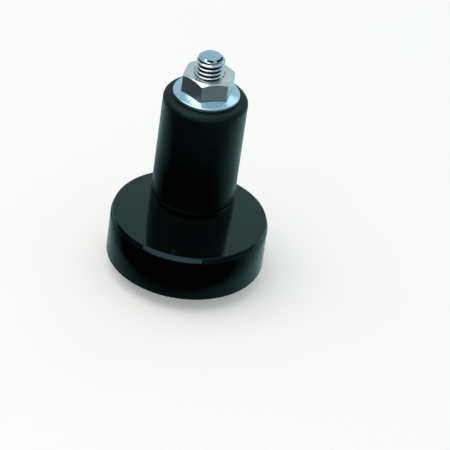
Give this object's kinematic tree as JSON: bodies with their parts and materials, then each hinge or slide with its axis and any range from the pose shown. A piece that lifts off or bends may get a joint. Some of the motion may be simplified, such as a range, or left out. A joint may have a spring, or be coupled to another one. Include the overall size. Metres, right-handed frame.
{
  "type": "bar end weight",
  "caption": "Round black handlebar end weight with a conical face, a spigot, a rubber expander sleeve, and a countersunk hexagon-socket screw with a flanged nut that squeezes the sleeve.",
  "frame": {"origin": "centre of the flat ring on the front face, which the weight stands on", "axes": "+Z along the axis of the screw, from the front face towards the nut and into the handlebar"},
  "size_m": [0.034, 0.034, 0.0541],
  "materials": {
    "black_enamel": "glossy black stoved enamel on turned steel",
    "black_rubber": "moulded, satin",
    "zinc_screw": "zinc plated and blue passivated, satin head and rolled thread",
    "zinc_nut": "zinc plated and blue passivated, bright"
  },
  "bodies": {
    "root": {"end_weight": "black_enamel", "expander_sleeve": "black_rubber", "socket_screw": "zinc_screw", "flange_nut": "zinc_nut"}
  },
  "joints": []
}
